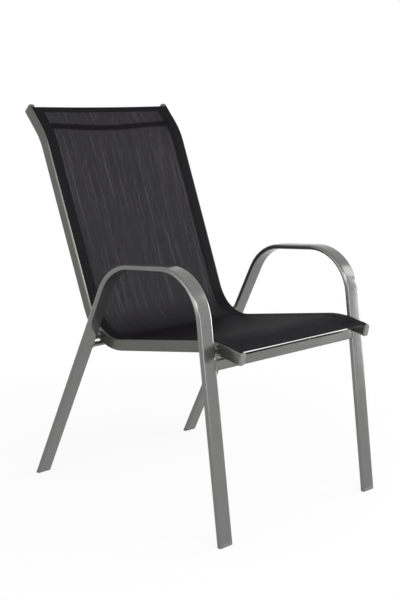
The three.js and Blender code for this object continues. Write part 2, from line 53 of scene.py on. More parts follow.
# camera
CAMERA_PLACE = Vector((-1.7660, -1.896385, 0.9500))
CAMERA_YAW = math.radians(43.30)
CAMERA_PITCH = math.radians(-10.72)
CAMERA_LENS_MM = 63.864
CAMERA_SENSOR_MM = 36


def add_to_scene(name, data):
    """A new object in the scene that holds the given mesh, lamp or camera."""
    thing = bpy.data.objects.new(name, data)
    bpy.context.scene.collection.objects.link(thing)
    return thing


def aim(thing, place, ahead):
    """Puts a camera or a lamp at a place, looking along a direction, with no roll."""
    thing.location = place
    thing.rotation_euler = ahead.to_track_quat("-Z", "Y").to_euler()


def place_camera():
    """The photograph's view: a yaw from +Y towards +X, then a pitch down."""
    data = bpy.data.cameras.new("photo_view")
    data.sensor_width = CAMERA_SENSOR_MM
    data.lens = CAMERA_LENS_MM
    camera = add_to_scene("photo_view", data)
    level = math.cos(CAMERA_PITCH)
    ahead = Vector((math.sin(CAMERA_YAW) * level, math.cos(CAMERA_YAW) * level, math.sin(CAMERA_PITCH)))
    aim(camera, CAMERA_PLACE, ahead)
    bpy.context.scene.camera = camera


place_camera()

# sizes shared with the frame, with y measured back from the front foot and z up from the floor
FRONT_FOOT_Y = -362.885 * MM
RAIL_START = np.array([-8.5, 411.2]) * MM
RAIL_ANGLES = np.radians([11, -9, 68.2, 47.7])
RAIL_LENGTHS = np.array([78.9, 407, 533.5, 88.7]) * MM
RAIL_RADII = np.array([214, 113.5, 155]) * MM
RAIL_HALF_SPREAD = 209.4 * MM
RAIL_TOE = math.tan(math.radians(0.6))
RAIL_LEAN = math.tan(math.radians(0.25))
RAIL_DEEP = 28 * MM
SLOT_X = -2.9 * MM
SLOT_Y = 9.4 * MM
SLOT_LOOP = 2.4 * MM
SLING_FRONT_INSET = 2.6 * MM
SLING_TOP_INSET = 7 * MM
HOOP_HALF_TRACK = 246.6 * MM
HOOP_TOE = math.tan(math.radians(0.93))
HOOP_WIDE = 41.5 * MM
HOOP_THICK = 12 * MM
FRONT_LEG_ANGLE = math.radians(82.33)
REAR_LEG_ANGLE = math.radians(-62.44)
SAG = 6 * MM
SAG_PLACE_SHARES = np.array([0, 0.22, 0.44, 0.66, 0.88, 1])
SAG_DEPTH_SHARES = np.array([0.1, 1, 0.1, 1, 0.75, 0.45])


# shapes from numbers
def run_along(line):
    """The length run so far at every point of a line: the running sum of its steps."""
    return np.concatenate([[0], np.cumsum(np.hypot(*np.diff(line, axis=0).T))])


def unit(vectors):
    """The same directions, each divided by its length."""
    return vectors / np.linalg.norm(vectors, axis=-1, keepdims=True)


def bent_path(start, angles, lengths, radii, straight_step, bend_step):
    """A line in side view of straight legs whose corners are rounded: on each leg the point moves along
    the leg's angle, and on each bend it turns about a centre that lies one radius off both legs.
    Returns y, z, angle and the length run so far at every station."""
    corner = np.array(start, float)
    places, turns = [corner[None]], [np.array([angles[0]])]
    cut_in = 0.0
    for leg, (angle, length) in enumerate(zip(angles, lengths)):
        along = np.array([math.cos(angle), math.sin(angle)])
        bend = leg < len(radii)
        turn = angles[leg + 1] - angle if bend else 0.0
        cut_out = radii[leg] * math.tan(abs(turn) / 2) if bend else 0.0
        count = max(2, int((length - cut_in - cut_out) / straight_step))
        run = np.linspace(cut_in, length - cut_out, count + 1)[1:]
        places.append(corner + run[:, None] * along)
        turns.append(np.full(count, angle))
        corner = corner + length * along
        if bend:
            side = math.copysign(1, turn)
            steps = max(2, int(abs(turn) / bend_step))
            swept = angle + turn * np.arange(1, steps + 1) / steps
            first = corner - cut_out * along
            centre = first + radii[leg] * side * np.array([-along[1], along[0]])
            places.append(centre - radii[leg] * side * np.stack([-np.sin(swept), np.cos(swept)], 1))
            turns.append(swept)
        cut_in = cut_out
    points = np.concatenate(places)
    return points[:, 0], points[:, 1], np.concatenate(turns), run_along(points)


def resampled(line, count):
    """The same line with count points at equal distances along it."""
    run = run_along(line)
    places = np.linspace(0, run[-1], count)
    return np.stack([np.interp(places, run, line[:, k]) for k in range(2)], 1)


def thickened(line, half):
    """The closed outline round a line: each point is moved half a thickness to one side along the line's
    normal on the way out, and to the other side on the way back."""
    tangent = unit(np.gradient(line, axis=0))
    normal = np.stack([-tangent[:, 1], tangent[:, 0]], 1)
    return np.concatenate([line + normal * half, (line - normal * half)[::-1]])


def arc(x, y, radius, first, last, count):
    """Points on a circle about x, y, from one angle to another in degrees."""
    angle = np.radians(np.linspace(first, last, count))
    return np.stack([x + radius * np.cos(angle), y + radius * np.sin(angle)], 1)


def level_line(places, height):
    """Points at the given places along x, all at one height."""
    return np.stack([places, np.full_like(places, height)], 1)


def looped(outline):
    """An outline with its first point once more at its end."""
    return np.concatenate([outline, outline[:1]])


def mirrored(grid):
    """The same points on the other side of the chair."""
    return grid * np.array([-1, 1, 1])


def new_piece(name, verts, quads, caps=(), uv=None, smooth=True, sharp=None, closed=True):
    """A mesh object from arrays of points and quads, with flat end faces and a UV per face corner. The
    faces of a closed piece are turned outwards, and edges that bend by more than sharp, in degrees, are
    shaded as creases."""
    mesh = bpy.data.meshes.new(name)
    faces = [*quads.tolist(), *[list(cap) for cap in caps]]
    mesh.from_pydata(np.asarray(verts, float), [], faces)
    mesh.polygons.foreach_set("use_smooth", np.full(len(faces), smooth))
    if uv is not None:
        layer = mesh.uv_layers.new(name="weave")
        flat = np.zeros((len(mesh.loops), 2), np.float32)
        flat[: len(uv)] = uv
        layer.data.foreach_set("uv", flat.ravel())
    mesh.update()
    if closed:
        work = bmesh.new()
        work.from_mesh(mesh)
        bmesh.ops.recalc_face_normals(work, faces=work.faces)
        work.to_mesh(mesh)
        work.free()
    if sharp is not None:
        mesh.set_sharp_from_angle(angle=math.radians(sharp))
    return add_to_scene(name, mesh)


def surface(name, grid, across=None, along=None, closed_across=False, closed_along=False, sharp=None):
    """A surface through a grid of points, rows along and columns across. A closed direction joins its
    last line to its first, and a tube that is closed only across gets flat ends. Across and along are the
    UV coordinates of the columns and the rows."""
    rows, columns = grid.shape[:2]
    row_ends = rows if closed_along else rows - 1
    column_ends = columns if closed_across else columns - 1
    i, j = np.meshgrid(np.arange(row_ends), np.arange(column_ends), indexing="ij")
    i, j = i.ravel(), j.ravel()
    next_i, next_j = (i + 1) % rows, (j + 1) % columns
    quads = np.stack([i * columns + j, i * columns + next_j, next_i * columns + next_j,
                      next_i * columns + j], 1)
    uv = None
    if across is not None:
        across = np.broadcast_to(across, (rows, across.shape[-1]))
        corners = ((i, j), (i, j + 1), (i + 1, j + 1), (i + 1, j))
        uv = np.stack([np.stack([across[row, column], along[row]], 1) for row, column in corners], 1)
        uv = uv.reshape(-1, 2)
    ends = []
    if closed_across and not closed_along:
        ends = [range(columns)[::-1], range((rows - 1) * columns, rows * columns)]
    return new_piece(name, grid.reshape(-1, 3), quads, ends, uv, sharp=sharp, closed=closed_across)


# the rails' line, and places on it
path_y, path_z, path_angle, path_run = bent_path(
    RAIL_START, RAIL_ANGLES, RAIL_LENGTHS, RAIL_RADII, straight_step=8 * MM, bend_step=math.radians(1.6))
PATH_LENGTH = path_run[-1]


def on_path(run):
    """Side-view place and angle of the rails' line at a length along it."""
    return tuple(np.interp(run, path_run, values) for values in (path_y, path_z, path_angle))


def above_path(run, height):
    """Side-view place at a height square to the rails' line, at a length along it."""
    line_y, line_z, angle = on_path(run)
    return line_y - np.sin(angle) * height, line_z + np.cos(angle) * height


def path_normals(run):
    """The direction square to the rails' line at lengths along it, in the chair's frame."""
    angle = on_path(run)[2]
    return np.stack([np.zeros_like(angle), -np.sin(angle), np.cos(angle)], -1)


def rail_x(y, z):
    """How far from the chair's middle the left rail's line lies: it toes out backwards and leans out."""
    return RAIL_HALF_SPREAD + RAIL_TOE * y + RAIL_LEAN * (z - RAIL_START[1])


def rail_points(run, x, y):
    """Points given in the left rail's own section, x towards the chair's middle and y up from its line,
    at a length along the rail, turned into the chair's frame."""
    run, x, y = np.broadcast_arrays(run, x, y)
    at_y, at_z = above_path(run, y)
    return np.stack([rail_x(at_y, at_z) - x, at_y + FRONT_FOOT_Y, at_z], -1)


def sag_depth(run):
    """How deep the mesh sags at a length along it: the full sag times a share, which eases from each of
    its places to the next by 3b^2 - 2b^3."""
    length = PATH_LENGTH - SLING_FRONT_INSET - SLING_TOP_INSET
    share = np.clip((run - SLING_FRONT_INSET) / length, 0, 1)
    index = np.clip(np.searchsorted(SAG_PLACE_SHARES, share) - 1, 0, len(SAG_PLACE_SHARES) - 2)
    first, last = SAG_PLACE_SHARES[index], SAG_PLACE_SHARES[index + 1]
    blend = (share - first) / (last - first)
    blend = blend * blend * (3 - 2 * blend)
    return SAG * (SAG_DEPTH_SHARES[index] * (1 - blend) + SAG_DEPTH_SHARES[index + 1] * blend)


# sling
SLING_RUN = (SLING_FRONT_INSET, PATH_LENGTH - SLING_TOP_INSET)
CLOTH_GAP = 0.6 * MM
CLOTH_Y = RAIL_DEEP / 2 + CLOTH_GAP
FOLD_SHARP = 60
MESH_TUCK = 2 * MM
MESH_SHELL = 0.09 * MM
BAND_HALF_THICK = 0.5 * MM
BAND_START = -3.6 * MM
BAND_EDGE = 23.5 * MM
WELT_HALF_THICK = 0.45 * MM
WELT_NECK = np.array([0.8, 1.6, 2.4]) * MM
HEM_DEPTH = 16 * MM
HEM_UNDER = 0.52 * MM
HEM_OVER = 0.85 * MM
HEM_REACH = 0.8 * MM


def mesh_half_width(y, z):
    """Half the mesh's width: it ends a little under the inner edges of the side bands."""
    return rail_x(y, z) - BAND_EDGE + MESH_TUCK


def cloth_points(run, share, lift=0.0):
    """Points of the mesh: share runs from -1 at the right rail's band to 1 at the left one, and the
    height falls below the rails' line by the sag times one minus the share's square."""
    run, share = np.broadcast_arrays(run, share)
    half = mesh_half_width(*above_path(run, CLOTH_Y))
    fall = sag_depth(run) * (1 - share ** 2)
    at_y, at_z = above_path(run, CLOTH_Y - fall + lift)
    return np.stack([half * share, at_y + FRONT_FOOT_Y, at_z], -1)


def make_mesh_panel():
    """The open mesh between the side bands: one layer of cloth, a grid of share across and run along.
    Its UV is the distance from the chair's middle line and the length run along the rails. Its shell is
    so thin that the gaps of its two faces stay in line."""
    run = np.linspace(SLING_RUN[0] + MESH_TUCK, SLING_RUN[1] - MESH_TUCK, 320)
    share = np.linspace(-1, 1, 61)
    grid = cloth_points(run[:, None], share[None])
    across = np.cumsum(np.linalg.norm(np.diff(grid, axis=1), axis=2), 1)
    across = np.concatenate([np.zeros((len(run), 1)), across], 1)
    across -= across[:, -1:] / 2
    panel = surface("sling_mesh_panel", grid, across, run)
    shell = panel.modifiers.new("thread_thickness", "SOLIDIFY")
    shell.thickness = MESH_SHELL
    shell.offset = 0
    return panel


def band_outline():
    """The doubled cloth at one side, as its closed outline in the rail's section: a flat strip with round
    ends, from beside the slot to its seam."""
    first, last = BAND_START + BAND_HALF_THICK, BAND_EDGE - BAND_HALF_THICK
    outer = arc(first, CLOTH_Y, BAND_HALF_THICK, 90, 270, count=7)
    inner = arc(last, CLOTH_Y, BAND_HALF_THICK, -90, 90, count=7)
    places = np.linspace(first, last, 14)[1:-1]
    under = level_line(places, CLOTH_Y - BAND_HALF_THICK)
    over = level_line(places[::-1], CLOTH_Y + BAND_HALF_THICK)
    return np.concatenate([outer, under, inner, over])


def welt_outline():
    """The cloth in the slot, as its closed outline: a loop round the spline, then up through the neck
    into the strip above."""
    loop = arc(SLOT_X, SLOT_Y, SLOT_LOOP, 108, 450, count=24)
    neck = np.stack([np.full_like(WELT_NECK, SLOT_X), SLOT_Y + SLOT_LOOP + WELT_NECK], 1)
    return thickened(resampled(np.concatenate([loop, neck]), 40), WELT_HALF_THICK)


def along_rails(name, outline):
    """An outline in the rail's section carried along both rails, from the front hem to the top hem."""
    run = np.linspace(*SLING_RUN, 260)
    left = rail_points(run[:, None], outline[None, :, 0], outline[None, :, 1])
    around = run_along(looped(outline))
    return [surface(f"{name}_{side}", grid, around, run, closed_across=True, sharp=FOLD_SHARP)
            for side, grid in (("left", left), ("right", mirrored(left)))]


def make_hem(name, edge, inward):
    """A hem across the sling: two layers joined by a round fold at the edge, carried from one rail's slot
    to the other's on the mesh's own sagging surface. Inward is 1 or -1, the way to the sling's middle."""
    middle, half = (HEM_OVER - HEM_UNDER) / 2, (HEM_OVER + HEM_UNDER) / 2
    fold = arc(half, middle, half, 90, 270, count=9)
    places = np.linspace(half, HEM_DEPTH, 9)[1:]
    outline = np.concatenate([level_line(places[::-1], HEM_OVER), fold, level_line(places, -HEM_UNDER)])
    run, lift = edge + inward * outline[:, 0], outline[:, 1]
    line_y, line_z, _ = on_path(edge)
    across = np.linspace(-1, 1, 81) * (rail_x(line_y, line_z) - BAND_START)
    share = np.clip(across / mesh_half_width(line_y, line_z), -1, 1)
    grid = cloth_points(run[None], share[:, None], lift[None])
    toe = RAIL_TOE * (grid[..., 1] - grid[:, :1, 1])
    grid[..., 0] = across[:, None] + toe * np.sign(across)[:, None]
    return surface(name, grid, run_along(looped(outline)), across, closed_across=True, sharp=FOLD_SHARP)


# stitches
STITCH_PITCH = 3.2 * MM
STITCH_REACH = 0.36 * STITCH_PITCH
STITCH_RADIUS = 0.28 * MM
STITCH_SIDES = 6
STITCH_RING_PLACES = np.array([-1, -0.6, 0.6, 1])
STITCH_RING_GIRTHS = np.array([0.35, 1, 1, 0.35])
SIDE_STITCH_INSETS = (2 * MM, 6 * MM)
SIDE_STITCH_END = 20 * MM
HEM_STITCH_INSET = 2 * MM
HEM_STITCH_SHARE = 0.98


def make_stitches(name, points, normals):
    """A row of thread stitches: at every place one small spindle, four rings drawn out along the row and
    set square to it by the row's direction and the cloth's normal."""
    turn = np.linspace(0, 2 * math.pi, STITCH_SIDES, endpoint=False)
    girth = STITCH_RADIUS * STITCH_RING_GIRTHS
    ahead = unit(np.gradient(points, axis=0))
    side = np.cross(normals, ahead)
    spindle = (
        ahead[:, None, None] * (STITCH_REACH * STITCH_RING_PLACES)[None, :, None, None]
        + side[:, None, None] * (girth[:, None] * np.cos(turn))[None, :, :, None]
        + normals[:, None, None] * (girth[:, None] * np.sin(turn))[None, :, :, None]
    )
    verts = points[:, None, None] + spindle
    corner = np.arange(STITCH_SIDES)
    last_ring = (len(STITCH_RING_PLACES) - 1) * STITCH_SIDES
    base = np.arange(len(points))[:, None] * (last_ring + STITCH_SIDES)
    ring = np.arange(0, last_ring, STITCH_SIDES)[:, None]
    here = (ring + corner).ravel()
    there = (ring + (corner + 1) % STITCH_SIDES).ravel()
    quad = np.stack([here, there, there + STITCH_SIDES, here + STITCH_SIDES], 1)
    quads = (base[:, None] + quad[None]).reshape(-1, 4)
    starts = (base + corner[::-1]).tolist()
    ends = (base + last_ring + corner).tolist()
    return new_piece(name, verts.reshape(-1, 3), quads, [*starts, *ends])


def make_side_stitches():
    """Two rows of stitches near each band's inner edge, on top of the cloth."""
    run = np.arange(SLING_RUN[0] + SIDE_STITCH_END, SLING_RUN[1] - SIDE_STITCH_END, STITCH_PITCH)
    normals = path_normals(run)
    left = [rail_points(run, BAND_EDGE - inset, CLOTH_Y + BAND_HALF_THICK) for inset in SIDE_STITCH_INSETS]
    right = [mirrored(row) for row in left]
    return [make_stitches(f"stitches_{side}_{index}", row, normals)
            for side, rows in (("left", left), ("right", right)) for index, row in enumerate(rows, 1)]


def make_hem_stitches(name, run):
    """One row of stitches across the sling, on top of a hem."""
    half = rail_x(*on_path(run)[:2]) - BAND_EDGE
    count = int(2 * half / STITCH_PITCH)
    share = np.linspace(-HEM_STITCH_SHARE, HEM_STITCH_SHARE, count)
    points = cloth_points(np.full(count, run), share, HEM_OVER)
    return make_stitches(name, points, np.tile(path_normals(run), (count, 1)))


mesh_panel = make_mesh_panel()
bands = [*along_rails("sling_band", band_outline()), *along_rails("sling_welt", welt_outline())]
hems = [make_hem("sling_hem_front", SLING_RUN[0] - HEM_REACH, 1),
        make_hem("sling_hem_top", SLING_RUN[1] + HEM_REACH, -1)]
stitches = [
    *make_side_stitches(),
    make_hem_stitches("stitches_front", SLING_RUN[0] + HEM_DEPTH - HEM_STITCH_INSET),
    make_hem_stitches("stitches_top", SLING_RUN[1] - HEM_DEPTH + HEM_STITCH_INSET),
]

# weld beads
BEAD_RADIUS = 1.25 * MM
BEAD_SIDES = 12
BEAD_RIPPLE = 0.13
DROP_POINTS = 6
FRONT_BEAD_LONG = 24.1 * MM
FRONT_BEAD_DEEP = 11.6 * MM
FRONT_BEAD_ROUND = 3 * MM
FRONT_BEAD_DROPS = 22
REAR_BEAD_RADIUS = 6.5 * MM
REAR_BEAD_DROPS = 14


def hoop_x(y):
    """Distance of the hoop's middle from the chair's middle, at a distance behind the front foot."""
    return HOOP_HALF_TRACK + HOOP_TOE * y


def rounded_outline(long, deep, radius, count):
    """A rectangle with round corners, as points at equal distances."""
    x, y = long / 2 - radius, deep / 2 - radius
    corners = [arc(side_x * x, side_y * y, radius, first, first + 90, count=8)
               for side_x, side_y, first in ((1, -1, -90), (1, 1, 0), (-1, 1, 90), (-1, -1, 180))]
    return resampled(looped(np.concatenate(corners)), count + 1)[:-1]


def round_outline(radius, count):
    """A circle, as points at equal distances."""
    return arc(0, 0, radius, 0, 360 * (count - 1) / count, count)


def weld_bead(name, bar, leg_angle, outline, mirror):
    """The weld round a crossbar's end: a ring that follows the bar's outline where it meets the hoop's
    rounded inner edge, as a tube whose thickness ripples with every drop of the weld."""
    low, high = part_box(bar)
    centre = (low + high) / 2
    along = np.array([math.cos(leg_angle), math.sin(leg_angle)])
    across = np.array([-along[1], along[0]])
    s, t = outline[:, 0], outline[:, 1]
    y = centre.y + along[0] * s + across[0] * t
    z = centre.z + along[1] * s + across[1] * t
    round_edge = HOOP_THICK / 2
    inset = round_edge - np.sqrt(round_edge ** 2 - np.minimum(np.abs(t), round_edge) ** 2)
    x = hoop_x(y - FRONT_FOOT_Y) - HOOP_WIDE / 2 + inset
    path = np.stack([x, y, z], 1)
    tangent = unit(np.roll(path, -1, 0) - np.roll(path, 1, 0))
    first = unit(np.cross(tangent, [1, 0, 0]))
    second = np.cross(tangent, first)
    turn = np.linspace(0, 2 * math.pi, BEAD_SIDES, endpoint=False)
    drops = np.arange(len(path)) * 2 * math.pi / DROP_POINTS
    girth = BEAD_RADIUS * (1 + BEAD_RIPPLE * np.sin(drops))
    ring = first[:, None] * np.cos(turn)[None, :, None] + second[:, None] * np.sin(turn)[None, :, None]
    grid = path[:, None] + ring * girth[:, None, None]
    return surface(name, mirrored(grid) if mirror else grid, closed_across=True, closed_along=True)


flat_bar = rounded_outline(FRONT_BEAD_LONG, FRONT_BEAD_DEEP, FRONT_BEAD_ROUND,
                           FRONT_BEAD_DROPS * DROP_POINTS)
round_bar = round_outline(REAR_BEAD_RADIUS, REAR_BEAD_DROPS * DROP_POINTS)
welds = []
for side, mirror in (("left", False), ("right", True)):
    welds.append(weld_bead(f"weld_front_{side}", "front_crossbar", FRONT_LEG_ANGLE, flat_bar, mirror))
    welds.append(weld_bead(f"weld_rear_{side}", "rear_crossbar", REAR_LEG_ANGLE, round_bar, mirror))

# shading of the carried-over solids
MERGE_DISTANCE = 0.002 * MM
CREASE_ANGLE = math.radians(50)


def smoothing_group():
    """Geometry nodes that shade a solid smooth across bends and keep its true edges sharp: they join its
    loose triangles and mark the edges that bend by more than the crease angle."""
    group = bpy.data.node_groups.new("smooth_bends", "GeometryNodeTree")
    group.interface.new_socket("Geometry", in_out="INPUT", socket_type="NodeSocketGeometry")
    group.interface.new_socket("Geometry", in_out="OUTPUT", socket_type="NodeSocketGeometry")
    start = group.nodes.new("NodeGroupInput")
    end = group.nodes.new("NodeGroupOutput")
    merge = group.nodes.new("GeometryNodeMergeByDistance")
    merge.inputs["Distance"].default_value = MERGE_DISTANCE
    faces = group.nodes.new("GeometryNodeSetShadeSmooth")
    edges = group.nodes.new("GeometryNodeSetShadeSmooth")
    edges.domain = "EDGE"
    edges.inputs["Shade Smooth"].default_value = False
    angle = group.nodes.new("GeometryNodeInputMeshEdgeAngle")
    compare = group.nodes.new("FunctionNodeCompare")
    compare.data_type = "FLOAT"
    compare.operation = "GREATER_THAN"
    compare.inputs["B"].default_value = CREASE_ANGLE
    link = group.links.new
    link(start.outputs[0], merge.inputs["Geometry"])
    link(merge.outputs["Geometry"], faces.inputs["Geometry"])
    link(faces.outputs["Geometry"], edges.inputs["Geometry"])
    link(angle.outputs["Unsigned Angle"], compare.inputs["A"])
    link(compare.outputs["Result"], edges.inputs["Selection"])
    link(edges.outputs["Geometry"], end.inputs[0])
    return group


SMOOTHING = smoothing_group()


def shade_bends(piece):
    """Smooth bends, then normals weighted by face size, so that wide flats stay flat."""
    bends = piece.modifiers.new("smooth_bends", "NODES")
    bends.node_group = SMOOTHING
    weighted = piece.modifiers.new("weighted_normals", "WEIGHTED_NORMAL")
    weighted.keep_sharp = True


# materials
def colour(r, g, b):
    """A colour as the eye names it, 0 to 255, as the linear value that a shader takes."""
    value = np.array([r, g, b]) / 255
    linear = np.where(value <= 0.04045, value / 12.92, ((value + 0.055) / 1.055) ** 2.4)
    return (*linear.tolist(), 1.0)


class Nodes:
    """A node tree being built: add() places a node with its values and links, and returns its output."""

    def __init__(self, tree):
        self.tree = tree

    def feed(self, socket, value):
        """Links an output to a socket, or sets a plain value on it."""
        if isinstance(value, bpy.types.NodeSocket):
            self.tree.links.new(value, socket)
        else:
            socket.default_value = value

    def add(self, kind, output=0, **values):
        """set_name is a setting of the node, i0, i1 and so on are its inputs by number, and any other
        key is the name of an input, with _ for a space."""
        node = self.tree.nodes.new(kind)
        for key, value in values.items():
            if key.startswith("set_"):
                setattr(node, key[4:], value)
            elif key[1:].isdigit():
                self.feed(node.inputs[int(key[1:])], value)
            else:
                self.feed(node.inputs[key.replace("_", " ")], value)
        return None if output is None else node.outputs[output]

    def group(self, tree, values):
        """A node group placed with its values, and its outputs by name."""
        node = self.tree.nodes.new("ShaderNodeGroup")
        node.node_tree = tree
        for label, value in values.items():
            self.feed(node.inputs[label], value)
        return node.outputs

    def maths(self, operation, first, second=0.0):
        """One operation on one or two values."""
        return self.add("ShaderNodeMath", set_operation=operation, i0=first, i1=second)

    def centred(self, value, strength):
        """A pattern of 0 to 1 as a swing about zero: strength times the value less a half."""
        return self.maths("MULTIPLY", self.maths("SUBTRACT", value, 0.5), strength)

    def remap(self, value, low, high, to_low=0.0, to_high=1.0):
        """The value's share of the way from low to high, held at its ends, in a new range."""
        return self.add("ShaderNodeMapRange", i0=value, i1=low, i2=high, i3=to_low, i4=to_high)

    def blend(self, share, first, second):
        """A colour that lies a share of the way from the first to the second."""
        return self.add("ShaderNodeMix", output=2, set_data_type="RGBA", i0=share, i6=first, i7=second)

    def scaled(self, colour_value, factor):
        """A colour times a factor."""
        return self.add("ShaderNodeVectorMath", set_operation="SCALE", i0=colour_value, Scale=factor)


def new_group(name, inputs, outputs):
    """An empty shader node group with named inputs and outputs."""
    group = bpy.data.node_groups.new(name, "ShaderNodeTree")
    for label, kind, value in inputs:
        socket = group.interface.new_socket(label, in_out="INPUT", socket_type=kind)
        if value is not None:
            socket.default_value = value
    for label, kind in outputs:
        group.interface.new_socket(label, in_out="OUTPUT", socket_type=kind)
    start = group.nodes.new("NodeGroupInput")
    end = group.nodes.new("NodeGroupOutput")
    return group, Nodes(group), start.outputs, end.inputs


FLOAT, COLOUR, VECTOR = "NodeSocketFloat", "NodeSocketColor", "NodeSocketVector"

# grain: noise scales are cells per metre, and scuffs end at a height above the floor
CLOUD_SCALE = 14.0
CLOUD_ROUGHENING = 0.12
SCUFF_SCALE = 90.0
SCUFF_NOISE = (0.56, 0.68)
SCUFF_TOP = 0.09
SCUFF_DARKENING = 0.35
SCUFF_ROUGHENING = 0.3


def grain_group():
    """Powder coat and moulded plastic: the tone is one plus a swing of fine grain and one of slow clouds,
    less a share where scuffs show. Scuffs are spots of noise that fade out up the legs."""
    group, n, given, result = new_group(
        "fine_grain",
        [("Place", VECTOR, None), ("Colour", COLOUR, (0.25, 0.25, 0.24, 1)), ("Grain Size", FLOAT, 0.8),
         ("Grain Depth", FLOAT, 0.12), ("Cloud Depth", FLOAT, 0.05), ("Roughness", FLOAT, 0.4),
         ("Scuffs", FLOAT, 0.3)],
        [("Colour", COLOUR), ("Roughness", FLOAT), ("Height", FLOAT)],
    )
    place = given["Place"]
    scale = n.maths("DIVIDE", 1000.0, given["Grain Size"])
    grain = n.add("ShaderNodeTexNoise", Vector=place, Scale=scale, Detail=2.0, Roughness=0.6)
    cloud = n.add("ShaderNodeTexNoise", Vector=place, Scale=CLOUD_SCALE, Detail=3.0, Roughness=0.5)
    scuff = n.add("ShaderNodeTexNoise", Vector=place, Scale=SCUFF_SCALE, Detail=6.0, Roughness=0.75)
    height = n.add("ShaderNodeSeparateXYZ", output=2, i0=place)
    low = n.remap(height, SCUFF_TOP, 0.0)
    scuffed = n.maths("MULTIPLY", n.remap(scuff, *SCUFF_NOISE), low)
    scuffed = n.maths("MULTIPLY", scuffed, given["Scuffs"])
    tone = n.maths("ADD", n.centred(grain, given["Grain Depth"]), n.centred(cloud, given["Cloud Depth"]))
    tone = n.maths("ADD", tone, 1.0)
    tone = n.maths("SUBTRACT", tone, n.maths("MULTIPLY", scuffed, SCUFF_DARKENING))
    rough = n.maths("ADD", given["Roughness"], n.centred(cloud, CLOUD_ROUGHENING))
    rough = n.maths("ADD", rough, n.maths("MULTIPLY", scuffed, SCUFF_ROUGHENING))
    n.feed(result["Colour"], n.scaled(given["Colour"], tone))
    n.feed(result["Roughness"], rough)
    n.feed(result["Height"], grain)
    return group


# weave: streak scales are noise cells per metre across and along, and runs are metres along the rails
MESH_PITCH_MM = 1.1
SEAT_END_RUN = 0.42
BACK_START_RUN = 0.53
# painted shade: the seat lets half as much light through its gaps as the back, which darkens it
SEAT_PAINTED_SHADE_OPENNESS = 0.5
DARK_THREAD_OPENNESS = 0.8
FINE_STREAKS = (170.0, 4.0)
FINE_STREAK_NOISE = (0.5, 0.68)
WIDE_STREAKS = (50.0, 2.5)
WIDE_STREAK_STRENGTH = 0.9
THREAD_ROUNDING = 3.0
# painted shade and painted light: the thread colour is darker in the weave's valleys and lighter on its
# crowns
VALLEY_PAINTED_SHADE, CROWN_PAINTED_LIGHT = 0.45, 1.1
VALLEY_ROUGHNESS, CROWN_ROUGHNESS = 0.75, 0.5


